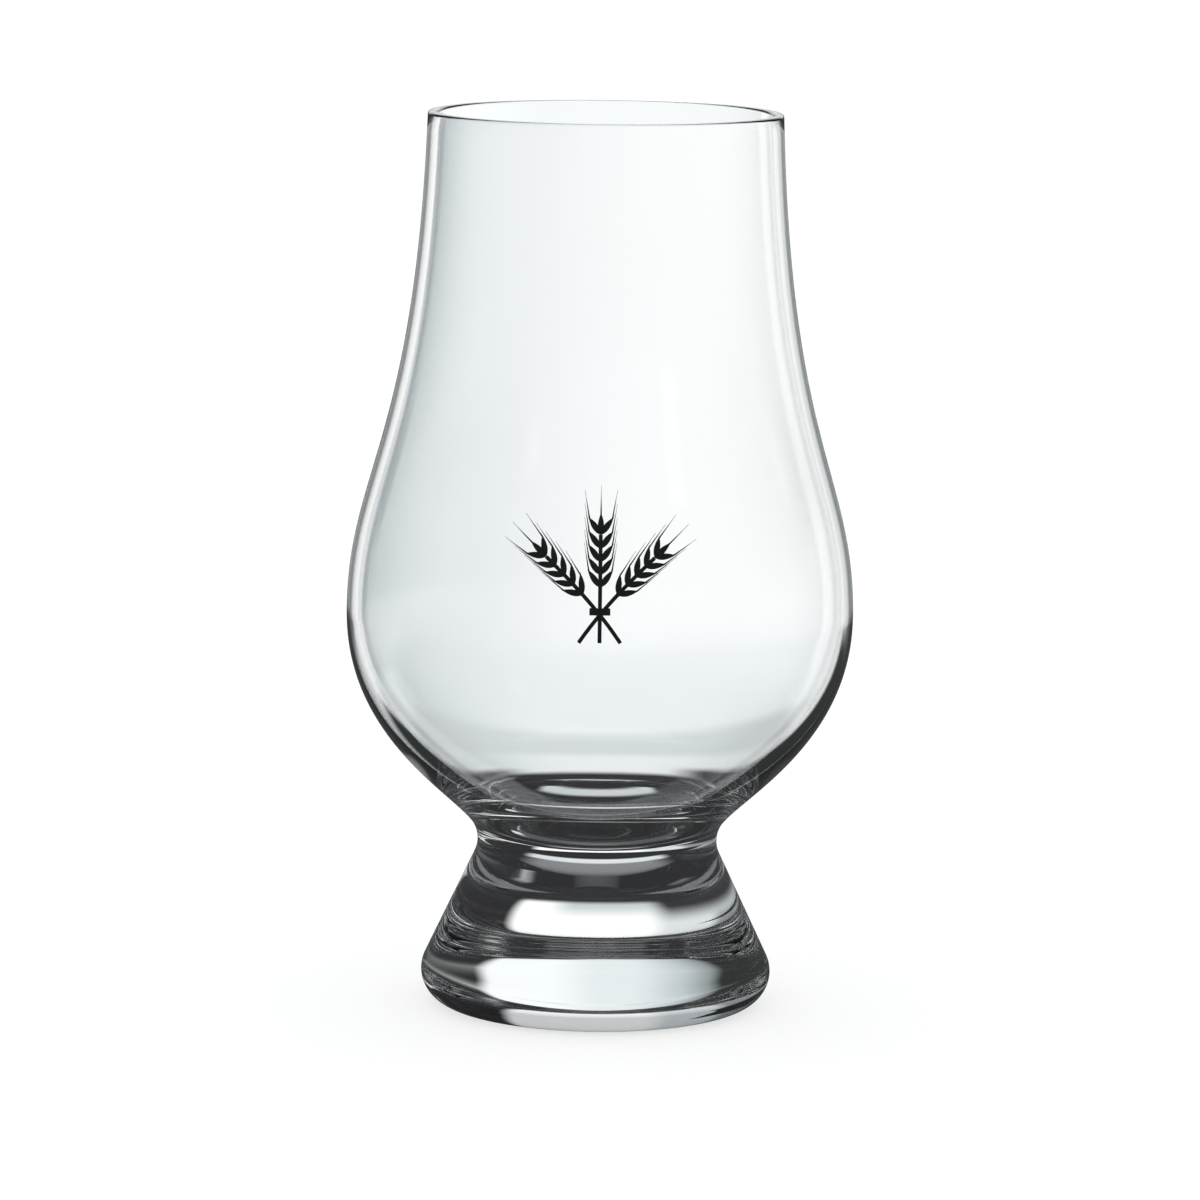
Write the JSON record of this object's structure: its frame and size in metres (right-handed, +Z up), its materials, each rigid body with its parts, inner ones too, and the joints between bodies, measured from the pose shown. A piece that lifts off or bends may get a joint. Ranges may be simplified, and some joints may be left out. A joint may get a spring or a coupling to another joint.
{
  "type": "whisky tasting glass",
  "caption": "Clear tulip-shaped whisky tasting glass: a thin blown bowl narrowing to its rim, fused at a waist to a heavy flared foot that stands on a flat ring.",
  "frame": {"origin": "middle of the circle that the foot stands on", "axes": "+Z up along the glass's axis, towards the rim; -Y towards the viewer of the picture"},
  "size_m": [0.0654, 0.0654, 0.116],
  "materials": {
    "blown_crystal": "fire-polished, clear",
    "pressed_crystal": "pressed and fire-polished, clear",
    "print_ink": "black print on the bowl's front, satin"
  },
  "bodies": {
    "root": {"bowl": "blown_crystal", "foot": "pressed_crystal"}
  },
  "joints": []
}
